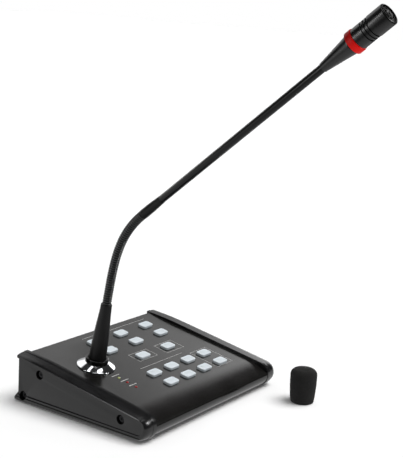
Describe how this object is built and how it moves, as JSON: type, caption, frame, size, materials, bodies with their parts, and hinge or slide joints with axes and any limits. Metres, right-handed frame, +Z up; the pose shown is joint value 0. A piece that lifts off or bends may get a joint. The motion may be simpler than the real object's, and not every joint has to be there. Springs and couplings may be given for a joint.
{
  "type": "paging microphone",
  "caption": "Desk paging microphone: wedge control base with push keys, status lamps and rounded side cheeks, a gooseneck microphone with a lit ring, and a loose foam windscreen.",
  "frame": {"origin": "centre of the bounding box's underside, on the table the base and the loose windscreen stand on", "axes": "+Z up, +Y to the rear of the base, where the network jacks are, and +X to the right as seen from the front"},
  "size_m": [0.2, 0.3176, 0.3655],
  "materials": {
    "textured_paint": "fine-textured dark grey powder coat",
    "moulded_black": "satin moulded, near black",
    "black_steel": "black oxide",
    "zinc_steel": "zinc plated",
    "black_rubber": "matt rubber",
    "key_plastic": "satin, pale grey-white",
    "green_lamp": "clear lens",
    "red_lamp": "clear lens",
    "circuit_board": "solder mask over glass fibre",
    "black_plastic": "moulded black",
    "silicone": "matt silicone",
    "white_plastic": "moulded white",
    "grey_cable": "grey insulation",
    "chrome": "polished chrome",
    "brass": "turned brass",
    "satin_black_tube": "glossy black lacquer",
    "satin_black_head": "black anodised",
    "flex_black": "black sheath over a bendable coil",
    "red_light_ring": "frosted translucent red",
    "foam": "open-cell foam"
  },
  "bodies": {
    "base": {"base_tray": "textured_paint", "board_screw_left": "zinc_steel", "board_screw_right": "zinc_steel", "boot_ring": "satin_black_head", "cheek_left": "moulded_black", "cheek_right": "moulded_black", "cheek_screw_left_1": "black_steel", "cheek_screw_left_2": "black_steel", "cheek_screw_left_3": "black_steel", "cheek_screw_right_1": "black_steel", "cheek_screw_right_2": "black_steel", "cheek_screw_right_3": "black_steel", "connector_board": "circuit_board", "cover_screw_left": "black_steel", "cover_screw_right": "black_steel", "flex_tube_lower": "flex_black", "foot_front": "black_rubber", "foot_rear": "black_rubber", "key_board": "circuit_board", "key_mat": "silicone", "mic_lead_lower": "grey_cable", "neck_boot": "black_rubber", "neck_flange": "chrome", "neck_lock_nut": "zinc_steel", "neck_socket": "brass", "network_jacks": "black_plastic", "ribbon_cable": "grey_cable", "status_lamp_green": "green_lamp", "status_lamp_red_1": "red_lamp", "status_lamp_red_2": "red_lamp", "top_cover": "textured_paint"},
    "neck_middle": {"flex_tube_upper": "flex_black", "mic_lead_upper": "grey_cable"},
    "mic_arm": {"neck_coupling": "satin_black_head", "arm_tube": "satin_black_tube", "head_cone": "satin_black_head", "light_ring": "red_light_ring", "ring_lamp_board": "white_plastic", "head_barrel": "satin_black_head", "head_grille": "satin_black_head", "mic_capsule": "chrome", "capsule_holder": "black_rubber", "mic_lead_arm": "grey_cable"},
    "key_call_1_cap": {"key_call_1": "key_plastic"},
    "key_call_2_cap": {"key_call_2": "key_plastic"},
    "key_front_1_cap": {"key_front_1": "key_plastic"},
    "key_front_2_cap": {"key_front_2": "key_plastic"},
    "key_front_3_cap": {"key_front_3": "key_plastic"},
    "key_front_4_cap": {"key_front_4": "key_plastic"},
    "key_front_5_cap": {"key_front_5": "key_plastic"},
    "key_front_6_cap": {"key_front_6": "key_plastic"},
    "key_front_7_cap": {"key_front_7": "key_plastic"},
    "key_front_8_cap": {"key_front_8": "key_plastic"},
    "key_rear_1_cap": {"key_rear_1": "key_plastic"},
    "key_rear_2_cap": {"key_rear_2": "key_plastic"},
    "key_rear_3_cap": {"key_rear_3": "key_plastic"},
    "key_rear_4_cap": {"key_rear_4": "key_plastic"},
    "key_rear_5_cap": {"key_rear_5": "key_plastic"},
    "key_rear_6_cap": {"key_rear_6": "key_plastic"},
    "windscreen": {"foam_windscreen": "foam"}
  },
  "joints": [
    {"name": "neck_lean", "type": "hinge", "parent": "base", "child": "neck_middle", "pos_m": [-0.0555, 0.08912, 0.11806], "axis": [0, 0.9829, 0.1843], "range_deg": [-40, 40], "deforming": ["flex_tube_lower", "mic_lead_lower"]},
    {"name": "neck_bend", "type": "hinge", "parent": "neck_middle", "child": "mic_arm", "pos_m": [-0.0555, 0.07319, 0.16286], "axis": [1, 0, 0], "range_deg": [-40, 50], "deforming": ["flex_tube_upper", "mic_lead_upper"]},
    {"name": "key_call_1_press", "type": "slide", "parent": "base", "child": "key_call_1_cap", "axis": [0, 0.1599, -0.9871], "range_m": [0, 0.0012], "stiffness_N_per_m": 500},
    {"name": "key_call_2_press", "type": "slide", "parent": "base", "child": "key_call_2_cap", "axis": [0, 0.1599, -0.9871], "range_m": [0, 0.0012], "stiffness_N_per_m": 500},
    {"name": "key_front_1_press", "type": "slide", "parent": "base", "child": "key_front_1_cap", "axis": [0, 0.1599, -0.9871], "range_m": [0, 0.0012], "stiffness_N_per_m": 500},
    {"name": "key_front_2_press", "type": "slide", "parent": "base", "child": "key_front_2_cap", "axis": [0, 0.1599, -0.9871], "range_m": [0, 0.0012], "stiffness_N_per_m": 500},
    {"name": "key_front_3_press", "type": "slide", "parent": "base", "child": "key_front_3_cap", "axis": [0, 0.1599, -0.9871], "range_m": [0, 0.0012], "stiffness_N_per_m": 500},
    {"name": "key_front_4_press", "type": "slide", "parent": "base", "child": "key_front_4_cap", "axis": [0, 0.1599, -0.9871], "range_m": [0, 0.0012], "stiffness_N_per_m": 500},
    {"name": "key_front_5_press", "type": "slide", "parent": "base", "child": "key_front_5_cap", "axis": [0, 0.1599, -0.9871], "range_m": [0, 0.0012], "stiffness_N_per_m": 500},
    {"name": "key_front_6_press", "type": "slide", "parent": "base", "child": "key_front_6_cap", "axis": [0, 0.1599, -0.9871], "range_m": [0, 0.0012], "stiffness_N_per_m": 500},
    {"name": "key_front_7_press", "type": "slide", "parent": "base", "child": "key_front_7_cap", "axis": [0, 0.1599, -0.9871], "range_m": [0, 0.0012], "stiffness_N_per_m": 500},
    {"name": "key_front_8_press", "type": "slide", "parent": "base", "child": "key_front_8_cap", "axis": [0, 0.1599, -0.9871], "range_m": [0, 0.0012], "stiffness_N_per_m": 500},
    {"name": "key_rear_1_press", "type": "slide", "parent": "base", "child": "key_rear_1_cap", "axis": [0, 0.1599, -0.9871], "range_m": [0, 0.0012], "stiffness_N_per_m": 500},
    {"name": "key_rear_2_press", "type": "slide", "parent": "base", "child": "key_rear_2_cap", "axis": [0, 0.1599, -0.9871], "range_m": [0, 0.0012], "stiffness_N_per_m": 500},
    {"name": "key_rear_3_press", "type": "slide", "parent": "base", "child": "key_rear_3_cap", "axis": [0, 0.1599, -0.9871], "range_m": [0, 0.0012], "stiffness_N_per_m": 500},
    {"name": "key_rear_4_press", "type": "slide", "parent": "base", "child": "key_rear_4_cap", "axis": [0, 0.1599, -0.9871], "range_m": [0, 0.0012], "stiffness_N_per_m": 500},
    {"name": "key_rear_5_press", "type": "slide", "parent": "base", "child": "key_rear_5_cap", "axis": [0, 0.1599, -0.9871], "range_m": [0, 0.0012], "stiffness_N_per_m": 500},
    {"name": "key_rear_6_press", "type": "slide", "parent": "base", "child": "key_rear_6_cap", "axis": [0, 0.1599, -0.9871], "range_m": [0, 0.0012], "stiffness_N_per_m": 500},
    {"name": "windscreen_lift", "type": "slide", "parent": "base", "child": "windscreen", "axis": [0, 0, 1], "range_m": [0, 0.1]}
  ]
}
